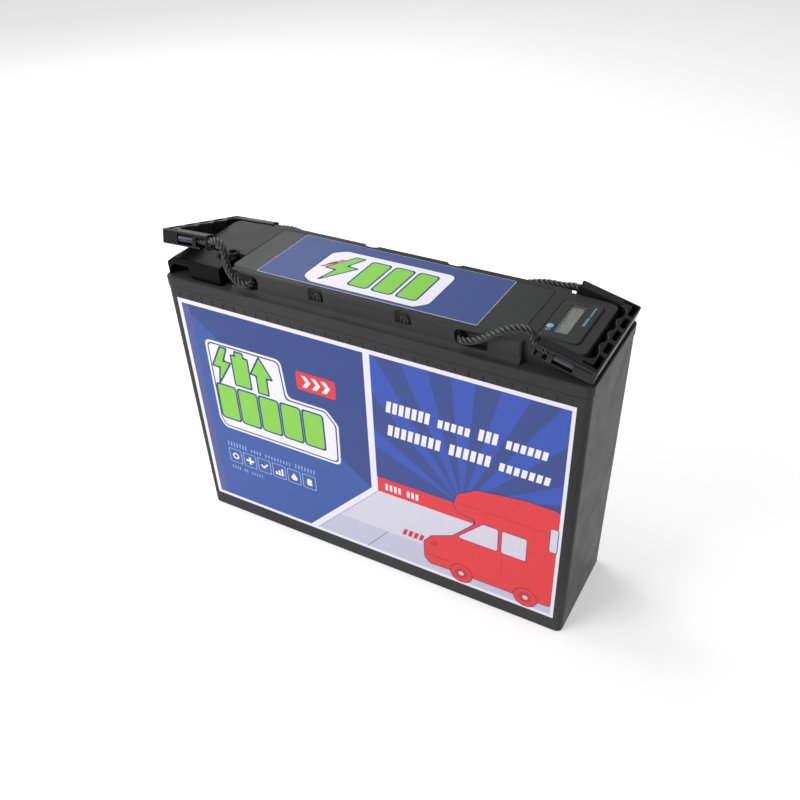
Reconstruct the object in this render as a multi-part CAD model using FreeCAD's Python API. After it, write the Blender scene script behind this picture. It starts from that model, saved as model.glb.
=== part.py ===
import FreeCAD, Part
import math
import os

from FreeCAD import Placement, Rotation, Vector

# Slim front-terminal deep cycle battery. Millimetres. X runs along the length (right = +X),
# the front face looks towards -Y, +Z is up, and the origin is the centre of the footprint.

# ---- driving dimensions -------------------------------------------------------------------------
LENGTH = 395.0                 # lid and overall length
WIDTH = 108.0                  # lid and overall width
HEIGHT = 286.0                 # floor to the flat top of the lid
CASE_BOTTOM = (391.0, 104.0)   # tub footprint on the floor
CASE_TOP = (393.5, 106.5)      # tub at its rim, so the walls have moulding draft
CASE_RIM = 257.7
CASE_WALL = 3.0
CASE_FLOOR = 4.0
CORNER = 6.0                   # vertical corner radius of tub and lid

SEAM = 258.5                   # underside of the lid rim, just above the seal
LEDGE = 268.0                  # top of the lid's outer rim
LEDGE_SWEEP = 5.6              # hollow fillet between rim and raised block
BLOCK_X = 184.6                # half length of the raised block
BLOCK_Y = 46.0                 # half width of the raised block between the handles
CREST_X = 152.2                # the top falls away gently beyond this line
END_FALL = 0.055               # slope of the two ends of the top
LID_SKIN = 3.0
STEP_X = 138.7                 # beyond this the block is narrower in front, beside the grips
NECK_X = 144.0                 # and beyond this behind
NECK_Y = 40.8

PANEL = (-130.1, 133.3, -39.5, 39.5)   # flush cover panel in the top
PANEL_THICK = 2.4
GROOVE = 0.45
TOP_LABEL = (-104.1, 99.2, -38.5, 38.5)
FRONT_LABEL = (-187.0, 187.0, 16.9, 248.6)
LABEL_THICK = 0.3

TUNNELS_X = (90.0, -104.5)     # the ropes of the right and the left handle run through the lid here
TUNNEL_Z = 277.0
ROPE_R = 3.25
TUNNEL_R = 3.6
POCKET_R = 5.7
POCKET_LENGTH = 22.0

CLIP_X = 40.5                  # four half-round pockets in the block's edge
CLIP_W = 15.5

MODULE = (143.9, 176.0, -30.0, 30.0)   # display module
MODULE_TOP = 286.3
LCD = (152.4, 163.8, -21.2, 22.2)
BUTTON_XY = (148.3, -14.6)
BUTTON_R = 2.9
BUTTON_TRAVEL = 0.8

GRIP_LEN = 50.0                # along the leg, crossbar included
GRIP_HALF = 51.5
GRIP_T = 12.5
LEG_IN = 41.3                  # inner face of a leg
BAR_T = 7.8                    # crossbar thickness
RIDGE_PITCH = 19.5             # three finger ridges along its inner face
RIDGE_HEIGHT = 3.0
ROPE_LINE_Y = 46.8             # the rope's line inside a leg
ROPE_LINE_Z = -6.6
RIGHT_TILT = 14.2              # how the right grip lies over the end of the lid
RIGHT_GRIP_AT = (198.6, 0.0, 281.2)
LEFT_ROLL = 15.6               # the left grip is held up at its front leg by the rope
LEFT_TILT = 2.7
LEFT_GRIP_AT = (-197.2, 5.0, 294.6)

COVER = (-194.9, -137.2, -48.7, -19.4)  # terminal cover, front left
COVER_TOP = 284.3
COVER_WALL = 1.8
NOTCH = (-126.3, -18.6)                # inner corner of the notch that the cover sits in

NEG_AT = (-163.0, -33.0)
POS_AT = (189.0, -42.4)
POS_TOP = 267.0                # sunk a little below the lid's rim
THREAD_R = 3.4

CELL = (130.0, 36.3, 200.5)
CELL_FOOT = 6.0


# ---- helpers ------------------------------------------------------------------------------------
def box(x0, x1, y0, y1, z0, z1):
    return Part.makeBox(x1 - x0, y1 - y0, z1 - z0, Vector(x0, y0, z0))


def cyl(r, x, y, z0, z1):
    return Part.makeCylinder(r, z1 - z0, Vector(x, y, z0))


def cyl_y(r, x, z, y0, y1):
    return Part.makeCylinder(r, y1 - y0, Vector(x, y0, z), Vector(0, 1, 0))


def ring_wire(x0, x1, y0, y1, z, r):
    """Closed rounded rectangle at height z."""
    pts = []
    for cx, cy, a0 in ((x1 - r, y1 - r, 0), (x0 + r, y1 - r, 90), (x0 + r, y0 + r, 180), (x1 - r, y0 + r, 270)):
        for k in (0, 45, 90):
            a = math.radians(a0 + k)
            pts.append(Vector(cx + r * math.cos(a), cy + r * math.sin(a), z))
    edges = []
    for i in range(0, 12, 3):
        edges.append(Part.Arc(pts[i], pts[i + 1], pts[i + 2]).toShape())
        edges.append(Part.LineSegment(pts[i + 2], pts[(i + 3) % 12]).toShape())
    return Part.Wire(edges)


def slab(x0, x1, y0, y1, z0, z1, r):
    """Plate or block with rounded vertical corners."""
    return Part.Face(ring_wire(x0, x1, y0, y1, z0, r)).extrude(Vector(0, 0, z1 - z0))


def drafted(bottom, top, z0, z1, r):
    """Box whose footprint grows evenly from bottom to top."""
    bx, by = bottom[0] / 2, bottom[1] / 2
    tx, ty = top[0] / 2, top[1] / 2
    return Part.makeLoft([ring_wire(-bx, bx, -by, by, z0, r), ring_wire(-tx, tx, -ty, ty, z1, r)], True, True)


def prism(points, direction):
    """Polygon given by 3-D points, extruded along direction."""
    face = Part.Face(Part.makePolygon([Vector(*p) for p in points] + [Vector(*points[0])]))
    return face.extrude(Vector(*direction))


def rounded(shape, r, test):
    """Fillets the edges for which test(mid-point, edge) is true."""
    edges = [e for e in shape.Edges if test(e.BoundBox.Center, e)]
    return shape.makeFillet(r, edges) if edges else shape


def fuse(first, *rest):
    return first.fuse(list(rest)).removeSplitter()


def cut(first, *rest):
    return first.cut(list(rest))


def group(shapes):
    """Separate solids kept together in one node."""
    return Part.Compound(shapes)


def mirror_x(shape):
    return shape.mirror(Vector(0, 0, 0), Vector(1, 0, 0))


def mirror_y(shape):
    return shape.mirror(Vector(0, 0, 0), Vector(0, 1, 0))


def tube(points, r, name):
    """Round cord: straight runs joined by tangent arcs that are as large as the runs allow."""
    p = [Vector(*q) for q in points]
    edges, radii, at = [], [], p[0]
    for i in range(1, len(p) - 1):
        a, b = p[i - 1] - p[i], p[i + 1] - p[i]
        turn = math.pi - a.getAngle(b)
        reach = 0.45 * min(a.Length, b.Length)
        radii.append(reach / math.tan(turn / 2))
        a.normalize()
        b.normalize()
        start, end = p[i] + a * reach, p[i] + b * reach
        inward = (a + b).normalize()
        centre = p[i] + inward * (radii[-1] / math.cos(turn / 2))
        edges.append(Part.LineSegment(at, start).toShape())
        edges.append(Part.Arc(start, centre - inward * radii[-1], end).toShape())
        at = end
    edges.append(Part.LineSegment(at, p[-1]).toShape())
    path = Part.Wire(edges)
    profile = Part.Wire(Part.makeCircle(r, p[0], p[1] - p[0]))
    solid = path.makePipeShell([profile], True, False)
    ratio = solid.Volume / (math.pi * r * r * path.Length)
    print(f"{name}: length {path.Length:.1f}, least radius {min(radii):.1f}, volume ratio {ratio:.4f}")
    return solid


def save(name, shape):
    shape.exportStep(f"parts/{name}.step")
    print(name, len(shape.Solids), "solid(s)", "valid" if shape.isValid() else "NOT VALID")


# ---- tub and lid --------------------------------------------------------------------------------
def make_case():
    outer = drafted(CASE_BOTTOM, CASE_TOP, 0, CASE_RIM, CORNER)
    outer = rounded(outer, 2.0, lambda c, e: c.z < 0.1)
    w = 2 * CASE_WALL
    inner = drafted(
        (CASE_BOTTOM[0] - w, CASE_BOTTOM[1] - w), (CASE_TOP[0] - w, CASE_TOP[1] - w), CASE_FLOOR, CASE_RIM + 1, 3.5
    )
    return cut(outer, inner)


def seal_ring():
    x, y = CASE_TOP[0] / 2 - 0.8, CASE_TOP[1] / 2 - 0.8
    outer = slab(-x, x, -y, y, CASE_RIM, SEAM, CORNER - 0.8)
    return cut(outer, slab(-x + 1.6, x - 1.6, -y + 1.6, y - 1.6, CASE_RIM - 1, SEAM + 1, CORNER - 2.4))


def roof(z_top, inset):
    """Solid under the lid's top: flat between the crest lines, falling gently to both ends."""
    drop = 20.0
    spread = drop / END_FALL
    x, y, r = CREST_X - inset, BLOCK_Y + 1.5 - inset, 12.0
    upper = ring_wire(-x, x, -y, y, z_top, r)
    lower = ring_wire(-x - spread, x + spread, -y - spread, y + spread, z_top - drop, r + spread)
    return Part.makeLoft([upper, lower], True, True)


def block():
    """The raised middle of the lid, stepping in at both ends where the grips lie beside it."""
    z0, z1 = LEDGE - 2, HEIGHT
    middle = slab(-STEP_X, STEP_X, -BLOCK_Y, BLOCK_Y, z0, z1, 2.6)
    shoulder = slab(-NECK_X, NECK_X, 0, BLOCK_Y, z0, z1, 2.6)
    ends = slab(-BLOCK_X, BLOCK_X, -NECK_Y, NECK_Y, z0, z1, 7.0)
    return fuse(middle, shoulder, ends)


def rope_pocket(tunnel_x):
    """Slot in the front wall where a rope leaves its tunnel and turns away from the middle."""
    at, z0, z1 = abs(tunnel_x), TUNNEL_Z - POCKET_R, TUNNEL_Z + POCKET_R + 1.6
    slot = box(at - POCKET_R, at + POCKET_LENGTH, -BLOCK_Y - 1, -BLOCK_Y + 4.6, z0, z1)
    slot = rounded(slot, 5.0, lambda c, e: e.BoundBox.YLength > 5 and abs(c.x - at + POCKET_R) < 0.1)
    return slot if tunnel_x > 0 else mirror_x(slot)


def sweep_strip(side):
    """Hollow fillet along the foot of the block's long wall."""
    r = LEDGE_SWEEP
    strip = box(-STEP_X, STEP_X, -BLOCK_Y - r, -BLOCK_Y + 1, LEDGE - 1, LEDGE + r)
    scoop = Part.makeCylinder(r, LENGTH, Vector(-LENGTH / 2, -BLOCK_Y - r, LEDGE + r), Vector(1, 0, 0))
    strip = cut(strip, scoop)
    return strip if side < 0 else mirror_y(strip)


def make_lid():
    x, y = LENGTH / 2, WIDTH / 2
    rim = slab(-x, x, -y, y, SEAM, LEDGE, CORNER + 1)
    rim = rounded(rim, 1.4, lambda c, e: c.z > LEDGE - 0.1)
    body = fuse(rim, block().common(roof(HEIGHT, 0)))

    def top_edge(c, e):
        return c.z > 280 and abs(e.BoundBox.ZMax - e.BoundBox.ZMin) < 3 and (abs(c.y) > NECK_Y - 0.1 or abs(c.x) > 180)
    body = rounded(body, 0.9, top_edge)

    body = fuse(body, sweep_strip(-1), sweep_strip(1))
    skirt_x, skirt_y = x - LID_SKIN, y - LID_SKIN
    hollow = [slab(-skirt_x, skirt_x, -skirt_y, skirt_y, SEAM - 1, LEDGE - LID_SKIN, CORNER - 1.5)]
    ceiling = roof(HEIGHT - LID_SKIN - PANEL_THICK, 0)
    for x0, x1, y0, y1 in ((NOTCH[0] + 4, 138, -38, 38), (137, 181.5, -34, 34), (-181.5, NOTCH[0] + 5, NOTCH[1] + 4, 34)):
        hollow.append(box(x0, x1, y0, y1, LEDGE - LID_SKIN - 1, HEIGHT).common(ceiling))
    body = cut(body, *hollow)
    tunnels = [cyl_y(TUNNEL_R + 3.2, at, TUNNEL_Z, -42, 42) for at in TUNNELS_X]
    stop = (LEDGE - LID_SKIN + 0.1, SEAM + 0.3)
    bosses = [cyl(9.5, NEG_AT[0], NEG_AT[1], 254, stop[0]), cyl(7.2, POS_AT[0], POS_AT[1], stop[1], stop[0])]
    body = fuse(body, *tunnels, *bosses)
    tools = []
    for at in TUNNELS_X:
        pocket = rope_pocket(at)
        tools += [cyl_y(TUNNEL_R, at, TUNNEL_Z, -60, 60), pocket, mirror_y(pocket)]
    for sx in (-1, 1):
        for sy in (-1, 1):
            notch = slab(-CLIP_W / 2, CLIP_W / 2, -6, 6, 276, HEIGHT + 1, 5.9)
            notch.translate(Vector(sx * CLIP_X, sy * (BLOCK_Y + 2.2), 0))
            tools.append(notch)
    tools.append(box(-200, NOTCH[0], -60, NOTCH[1], LEDGE, HEIGHT + 2))
    tools.append(slab(PANEL[0], PANEL[1], PANEL[2], PANEL[3], HEIGHT - PANEL_THICK, HEIGHT + 1, 5.0))
    g = 0.3
    tools.append(slab(MODULE[0] - g, MODULE[1] + g, MODULE[2] - g, MODULE[3] + g, 270, HEIGHT + 1, 4.0))
    tools.append(cyl(7.55, NEG_AT[0], NEG_AT[1], 250, LEDGE + 1))
    tools.append(cyl(5.25, POS_AT[0], POS_AT[1], 250, LEDGE + 1))
    return cut(body, *tools)


def make_cover_panel():
    g = GROOVE
    panel = slab(PANEL[0] + g, PANEL[1] - g, PANEL[2] + g, PANEL[3] - g, HEIGHT - PANEL_THICK, HEIGHT, 5.0 - g)
    return rounded(panel, 0.4, lambda c, e: c.z > HEIGHT - 0.1)


def make_front_label():
    x0, x1, z0, z1 = FRONT_LABEL

    def wall(z):
        return -(CASE_BOTTOM[1] + (CASE_TOP[1] - CASE_BOTTOM[1]) * z / CASE_RIM) / 2
    profile = [(x0, wall(z0), z0), (x0, wall(z1), z1), (x0, wall(z1) - LABEL_THICK, z1), (x0, wall(z0) - LABEL_THICK, z0)]
    return prism(profile, (x1 - x0, 0, 0))


def make_top_label():
    return slab(TOP_LABEL[0], TOP_LABEL[1], TOP_LABEL[2], TOP_LABEL[3], HEIGHT, HEIGHT + 0.25, 1.0)


# ---- display module -----------------------------------------------------------------------------
def make_module():
    x0, x1, y0, y1 = MODULE
    body = slab(x0, x1, y0, y1, 274.5, MODULE_TOP, 3.5)
    body = rounded(body, 1.2, lambda c, e: c.z > MODULE_TOP - 0.1)
    body = cut(body, box(x0 + 0.6, x1 - 1.6, y0 + 1.6, y1 - 1.6, 273, MODULE_TOP - 2.2))
    g = 0.15
    window = slab(LCD[0] - g, LCD[1] + g, LCD[2] - g, LCD[3] + g, 273, MODULE_TOP + 1, 0.8)
    return cut(body, window, cyl(BUTTON_R + 0.3, BUTTON_XY[0], BUTTON_XY[1], 273, MODULE_TOP + 1))


def make_lens():
    return slab(LCD[0], LCD[1], LCD[2], LCD[3], MODULE_TOP - 1.4, MODULE_TOP - 0.4, 0.6)


def make_lcd():
    return box(LCD[0] - 1, LCD[1] + 1, LCD[2] - 2, LCD[3] + 2, MODULE_TOP - 4.6, MODULE_TOP - 2.3)


def make_board():
    board = box(MODULE[0] + 2, MODULE[1] - 2, MODULE[2] + 2, MODULE[3] - 2, 276.0, 277.6)
    return board


def make_button():
    x, y = BUTTON_XY
    cap = cyl(BUTTON_R, x, y, 280.6, MODULE_TOP + 0.4)
    cap = rounded(cap, 0.5, lambda c, e: c.z > MODULE_TOP + 0.3)
    return fuse(cap, cyl(BUTTON_R + 0.7, x, y, 280.6, 281.6))


def make_switch():
    x, y = BUTTON_XY
    body = box(x - 2.6, x + 2.6, y - 2.6, y + 2.6, 277.6, 279.2)
    return fuse(body, cyl(1.1, x, y, 279.2, 279.7))


# ---- handles ------------------------------------------------------------------------------------
def grip():
    """U-shaped grip in its own frame: top at z = 0, crossbar's outer face at x = 0, legs towards -x."""
    outer = slab(-GRIP_LEN, 0, -GRIP_HALF, GRIP_HALF, -GRIP_T, 0, 2.0)
    outer = rounded(outer, 4.0, lambda c, e: c.x > -2 and e.BoundBox.ZLength > 10 and e.BoundBox.XLength > 1)
    gap = slab(-GRIP_LEN - 30, -BAR_T, -LEG_IN, LEG_IN, -GRIP_T - 1, 1, 7.5)
    body = cut(outer, gap)
    body = rounded(body, 1.0, lambda c, e: abs(c.z) < 0.01 or abs(c.z + GRIP_T) < 0.01)
    body = fuse(body, finger_ridges())
    tools = []
    for y in (-RIDGE_PITCH, 0.0, RIDGE_PITCH):
        tools.append(slab(-6.0, -1.6, y - 7.2, y + 7.2, -10.2, 1, 1.2))
    for s in (-1, 1):
        tools.append(slab(-6.0, -1.6, *span(s, 31.5, GRIP_HALF - 2.8), -10.2, 1, 1.2))
        tools.append(slab(-14.0, -1.6, *span(s, GRIP_HALF - 5.6, GRIP_HALF - 2.8), -6.0, 1, 1.2))
        tools += leg_tools(s)
    return cut(body, *tools)


def finger_ridges():
    """Three smooth waves standing proud of the crossbar's inner face."""
    end = 1.5 * RIDGE_PITCH
    wave = []
    for k in range(-12, 13):
        y = end * k / 12
        proud = RIDGE_HEIGHT * (1 + math.cos(math.tau * y / RIDGE_PITCH)) / 2
        wave.append(Vector(-BAR_T - proud, y, -8.5))
    curve = Part.BSplineCurve()
    curve.interpolate(wave)
    inner = -BAR_T + 1.5
    back = Part.makePolygon([wave[-1], Vector(inner, end, -8.5), Vector(inner, -end, -8.5), wave[0]])
    ridges = Part.Face(Part.Wire([curve.toShape()] + back.Edges)).extrude(Vector(0, 0, 8.5))
    return rounded(ridges, 0.8, lambda c, e: abs(c.z) < 0.01 and e.BoundBox.YLength > end and c.x < inner - 0.5)


def span(s, near, far):
    """Orders two distances from the centre line for a leg at side s."""
    return min(s * near, s * far), max(s * near, s * far)


def leg_tools(s):
    """Hollows of one leg: rope lane, opening behind the end post, ferrule window, gap under the post."""
    face = GRIP_HALF + 1
    mouth = box(-47.7, -37.5, *span(s, ROPE_LINE_Y - 3.7, face), -10.6, -2.9)
    inlet = box(-GRIP_LEN - 1, -46.5, *span(s, ROPE_LINE_Y - 3.5, ROPE_LINE_Y + 3.5), -11.0, -2.9)
    window = box(-33.5, -17.1, *span(s, ROPE_LINE_Y - 4.3, face), -10.9, -2.3)
    lane = Part.makeCylinder(ROPE_R + 0.25, 8.0, Vector(-39.5, s * ROPE_LINE_Y, ROPE_LINE_Z), Vector(1, 0, 0))
    gap = box(-46.3, -41.5, *span(s, LEG_IN - 1, face), -GRIP_T - 1, -9.0)
    flute = box(-47.5, -3.0, *span(s, GRIP_HALF - 0.6, face), -3.9, -3.2)
    throat = Part.makeCylinder(ROPE_R + 0.35, 9.0, Vector(-GRIP_LEN - 0.6, s * ROPE_LINE_Y, -8.0), Vector(0, 0, 1))
    return [mouth, inlet, window, lane, gap, flute, throat]


def ferrule(s):
    """Crimped sleeve on the rope's end, in the leg's window."""
    shell = Part.makeCylinder(4.1, 15.6, Vector(-33.1, s * ROPE_LINE_Y, ROPE_LINE_Z), Vector(1, 0, 0))
    bore = Part.makeCylinder(ROPE_R, 14.0, Vector(-33.5, s * ROPE_LINE_Y, ROPE_LINE_Z), Vector(1, 0, 0))
    return cut(shell, bore)


def place_right():
    return Placement(Vector(*RIGHT_GRIP_AT), Rotation(Vector(0, 1, 0), RIGHT_TILT))


def place_left():
    turn = Rotation(Vector(1, 0, 0), -LEFT_ROLL).multiply(Rotation(Vector(0, 1, 0), -LEFT_TILT))
    return Placement(Vector(*LEFT_GRIP_AT), turn)


def placed(shape, side):
    """Puts a piece of the grip's own frame at the right or the left handle."""
    piece = shape if side > 0 else mirror_x(shape)
    piece = piece.copy()
    piece.Placement = (place_right() if side > 0 else place_left()).multiply(piece.Placement)
    return piece


def in_leg(side, s, x):
    """A point on the rope's line inside a leg, x along the leg from the crossbar's outer face."""
    local = Vector(x if side > 0 else -x, s * ROPE_LINE_Y, ROPE_LINE_Z)
    p = (place_right() if side > 0 else place_left()).multVec(local)
    return (p.x, p.y, p.z)


# Free routes of the two ropes between the tunnels' mouths and the legs, chosen by hand.
RIGHT_FRONT_ROUTE = [
    (90.0, -49.6, 277.0),
    (99.8, -49.8, 278.6),
    (108.6, -49.8, 283.2),
    (117.2, -49.8, 289.4),
    (127.0, -49.2, 295.6),
    (137.8, -47.8, 299.2),
    (146.6, -46.9, 298.0),
    (148.4, -46.8, 290.6),
]
RIGHT_REAR_ROUTE = [
    (90.0, 49.6, 277.0),
    (100.0, 50.1, 278.8),
    (111.6, 50.7, 282.4),
    (123.2, 50.6, 284.6),
    (134.4, 50.6, 284.4),
    (144.8, 50.2, 287.0),
]
LEFT_FRONT_ROUTE = [
    (-104.5, -49.6, 277.0),
    (-114.4, -49.8, 276.8),
    (-121.6, -50.2, 281.8),
    (-125.8, -50.0, 289.6),
    (-128.4, -47.4, 298.0),
    (-132.8, -43.8, 305.6),
    (-140.4, -42.2, 307.8),
]
LEFT_REAR_ROUTE = [
    (-104.5, 49.6, 277.0),
    (-114.6, 49.9, 278.8),
    (-127.0, 51.0, 281.2),
    (-139.4, 51.0, 280.4),
]


def rope_points(side):
    """Whole rope of one handle, from the front leg's ferrule through the tunnel to the rear one's."""
    if side > 0:
        front, rear = RIGHT_FRONT_ROUTE, RIGHT_REAR_ROUTE
    else:
        front, rear = LEFT_FRONT_ROUTE, LEFT_REAR_ROUTE
    start = [in_leg(side, -1, -19.5), in_leg(side, -1, -45.5)]
    end = [in_leg(side, 1, -45.5), in_leg(side, 1, -19.5)]
    return start + front[::-1] + rear + end


def make_rope(side, name):
    return tube(rope_points(side), ROPE_R, name)


# ---- terminals ----------------------------------------------------------------------------------
def make_negative():
    x, y = NEG_AT
    body = fuse(cyl(7.5, x, y, 252, 272.5), cyl(9.2, x, y, LEDGE, 272.5))
    body = rounded(body, 0.6, lambda c, e: c.z > 272.4)
    return cut(body, cyl(THREAD_R, x, y, 258.5, 275))


def make_positive():
    x, y = POS_AT
    body = cyl(5.2, x, y, SEAM + 0.4, POS_TOP)
    body = rounded(body, 0.5, lambda c, e: c.z > POS_TOP - 0.1)
    return cut(body, cyl(THREAD_R, x, y, SEAM + 1.7, POS_TOP + 1))


def make_terminal_cover():
    """Hood over the front-left terminal, open below, with a window for the cable."""
    x0, x1, y0, y1 = COVER
    z0, z1 = LEDGE + 0.3, COVER_TOP
    body = box(x0, x1, y0, y1, z0, z1)
    slope = prism([(x0 - 1, y0 - 1, z1 - 3.2), (x0 - 1, y0 + 3.4, z1 + 1), (x0 - 1, y0 - 1, z1 + 1)], (80, 0, 0))
    corner = prism([(x0 - 1, y0 - 1, z1 - 5.5), (x0 + 7.5, y0 - 1, z1 + 1), (x0 - 1, y0 - 1, z1 + 1)], (0, 60, 0))
    body = cut(body, slope, corner)
    body = rounded(body, 0.8, lambda c, e: c.z > z0 + 4 and c.y < y1 - 1)
    w = COVER_WALL
    inside = box(x0 + w, x1 - w, y0 + w, y1 + 1, z0 - 1, z1 - w)
    keep = prism([(x0, y0, z1 - 5.5 - w), (x0 + 7.5, y0, z1 + 1 - w), (x0, y0, z1 + 1)], (0, 60, 0))
    window = prism(
        [(x0 + 2.4, y0 - 1, z0 - 1), (x0 + 2.4, y0 - 1, z0 + 5.4), (x0 + 8.2, y0 - 1, z1 - 5.2),
         (x0 + 23.6, y0 - 1, z1 - 5.2), (x0 + 26.4, y0 - 1, z0 - 1)], (0, 5, 0)
    )
    return cut(body, cut(inside, keep), window)


def make_tether():
    """Strap and ring moulded on the cover, lying over the block's top."""
    ring = Part.makeTorus(4.4, 1.25, Vector(-141.5, -21.5, HEIGHT + 1.35), Vector(0, 0, 1))
    arc = [(-145.6, -22.6, 287.4), (-150.0, -25.0, 288.4), (-152.0, -27.0, 286.6), (-152.6, -28.6, 284.0)]
    return fuse(ring, tube(arc, 1.25, "tether strap"))


# ---- inside the tub -----------------------------------------------------------------------------
def cell_centre(index):
    """Four cells stand in two columns and two rows."""
    column, row = ((0, 0), (0, 1), (1, 1), (1, 0))[index]
    return -122.6 + column * (CELL[0] + 1.2), (row - 0.5) * (CELL[1] + 1.6)


def make_cell(index):
    cx, cy = cell_centre(index)
    hx, hy = CELL[0] / 2, CELL[1] / 2
    body = slab(cx - hx, cx + hx, cy - hy, cy + hy, CELL_FOOT, CELL_FOOT + CELL[2], 3.0)
    vent = slab(cx - 8, cx + 8, cy - 5, cy + 5, CELL_FOOT + CELL[2] - 0.6, CELL_FOOT + CELL[2] + 1, 4.5)
    return cut(body, vent)


def post_xy():
    places = []
    for i in range(4):
        cx, cy = cell_centre(i)
        places += [(cx - 45, cy), (cx + 45, cy)]
    return places


POST_TOP = CELL_FOOT + CELL[2] + 3.0


def make_posts():
    base = CELL_FOOT + CELL[2]
    posts = []
    for x, y in post_xy():
        posts.append(fuse(cyl(9.0, x, y, base, POST_TOP), cyl(3.0, x, y, POST_TOP, POST_TOP + 10)))
    return group(posts)


def link(a, b):
    """Flat copper link between two posts, with round ends and a hump's worth of thickness."""
    (ax, ay), (bx, by) = a, b
    x0, x1 = min(ax, bx) - 8, max(ax, bx) + 8
    y0, y1 = min(ay, by) - 8, max(ay, by) + 8
    plate = slab(x0, x1, y0, y1, POST_TOP, POST_TOP + 2, 7.9)
    return cut(plate, cyl(3.2, ax, ay, POST_TOP - 1, POST_TOP + 3), cyl(3.2, bx, by, POST_TOP - 1, POST_TOP + 3))


def make_busbars():
    p = post_xy()
    return group([link(p[0], p[2]), link(p[3], p[4]), link(p[5], p[7])])


def make_nuts():
    nuts = []
    for i, (x, y) in enumerate(post_xy()):
        lift = POST_TOP + 2
        hexagon = Part.makePolygon([
            Vector(x + 5.8 * math.cos(math.radians(60 * k)), y + 5.8 * math.sin(math.radians(60 * k)), lift)
            for k in range(7)
        ])
        nut = Part.Face(hexagon).extrude(Vector(0, 0, 5))
        nuts.append(cut(nut, cyl(3.05, x, y, lift - 1, lift + 6)))
    return group(nuts)


def make_tabs():
    """Cable lugs on the pack's two end posts."""
    p = post_xy()
    lugs = []
    for x, y in (p[1], p[6]):
        lug = slab(x - 8, x + 8, y - 8, y + 8, POST_TOP, POST_TOP + 2, 7.9)
        lugs.append(cut(lug, cyl(3.2, x, y, POST_TOP - 1, POST_TOP + 3)))
    return group(lugs)


def make_separators():
    z0, z1 = CELL_FOOT, CELL_FOOT + CELL[2] - 4
    lengthwise = box(-186, 72, -0.75, 0.75, z0, z1)
    cross = [box(-57.5, -56.5, s, s + 34, z0, z1) for s in (-36.0, 2.0)]
    return group([lengthwise] + cross)


def make_boards():
    z0, z1 = CELL_FOOT, CELL_FOOT + CELL[2] - 2
    sides = [box(-187, 73, s * 37.4 - 0.9, s * 37.4 + 0.9, z0, z1) for s in (-1.03, 1.03)]
    ends = [box(-190.2, -188.2, -36, 36, z0, z1), box(74.4, 76.4, -36, 36, z0, z1)]
    return group(sides + ends)


def make_straps():
    straps = []
    for z in (60, 150):
        outer = slab(-191.2, 77.4, -40.5, 40.5, z, z + 16, 1.2)
        straps.append(cut(outer, slab(-190.4, 76.6, -39.7, 39.7, z - 1, z + 17, 0.6)))
    return group(straps)


def make_foam_pad():
    return box(-189, 76, -41, 41, CASE_FLOOR, CELL_FOOT)


def make_foam_blocks():
    return group([box(-180, 68, s - 2.6, s + 2.6, 70, 190) for s in (-44.5, 44.5)])


def make_bms_sink():
    plate = box(92, 96, -40, 40, 50, 200)
    fins = [box(86, 92.1, y - 0.9, y + 0.9, 54, 196) for y in range(-36, 37, 8)]
    return fuse(plate, *fins)


def make_bms_board():
    board = box(99, 100.6, -40, 40, 50, 200)
    holes = [Part.makeCylinder(1.5, 4, Vector(98, y, z), Vector(1, 0, 0)) for y in (-37.5, 37.5) for z in (53, 197)]
    return cut(board, *holes)


def make_bms_parts():
    parts = [box(96.0, 99, -34 + 11 * i, -26 + 11 * i, 70, 80) for i in range(7)]
    parts += [box(100.6, 104.6, -30, -6, 160, 172), box(100.6, 103.6, 4, 22, 100, 118)]
    parts += [Part.makeCylinder(4, 12, Vector(100.6, 28, 140), Vector(1, 0, 0))]
    return group(parts)


def make_bms_tray():
    back = box(80, 84, -44, 44, 10, 215)
    foot = box(80, 112, -44, 44, 6, 10)
    shelves = [box(84, 98.9, s * 42.4 - 1.2, s * 42.4 + 1.2, 10, 215) for s in (-1, 1)]
    return fuse(back, foot, *shelves)


def make_bms_screws():
    screws = []
    for y in (-37.5, 37.5):
        for z in (53, 197):
            shank = Part.makeCylinder(1.4, 4.6, Vector(96, y, z), Vector(1, 0, 0))
            head = Part.makeCylinder(2.8, 2.0, Vector(100.6, y, z), Vector(1, 0, 0))
            screws.append(fuse(shank, head))
    return group(screws)


def make_positive_cable():
    x, y = post_xy()[6]
    z = POST_TOP + 4.6
    route = [(x + 9, y, z), (x + 40, y - 2, z + 9), (x + 85, y - 12, z + 13), (x + 130, y - 22, z + 15),
             (x + 165, -40.6, z + 16), (151, -42.4, 234.0), (172, -43.2, 236.0), (183.5, -43.0, 242.6),
             (187.5, -42.7, 249.6), (189, -42.4, SEAM - 0.2)]
    return tube(route, 3.2, "positive cable")


def make_negative_cable():
    x, y = post_xy()[1]
    z = POST_TOP + 4.6
    route = [(x + 9, y - 1, z), (x + 40, y + 5, z + 12), (x + 90, y + 22, z + 15), (x + 130, 14, z + 13),
             (106, 8, z + 2), (112, 6, 172), (108.5, 5, 150)]
    return tube(route, 3.2, "pack negative cable")


def make_output_cable():
    route = [(106.0, -12, 178), (110, -10, 205), (96, -6, 232), (50, 2, 243), (-20, 8, 246), (-90, 4, 244),
             (-136, -14, 240), (-157, -28, 239.5), (-163, -33, 244.5), (-163, -33, 251.8)]
    return tube(route, 3.2, "output negative cable")


def make_balance_lead():
    route = [(104, 16, 120), (112, 18, 150), (113, 21, 200), (98, 26, 224), (60, 24.5, 223), (10, 16, 220.5),
             (-50, 10, 219.5)]
    return tube(route, 1.8, "balance lead")


def make_display_lead():
    route = [(106.0, 28, 152), (116, 24, 190), (130, 14, 235), (146, 7, 255), (156, 1, 266), (158, 0, 275.6)]
    return tube(route, 1.6, "display lead")


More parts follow.
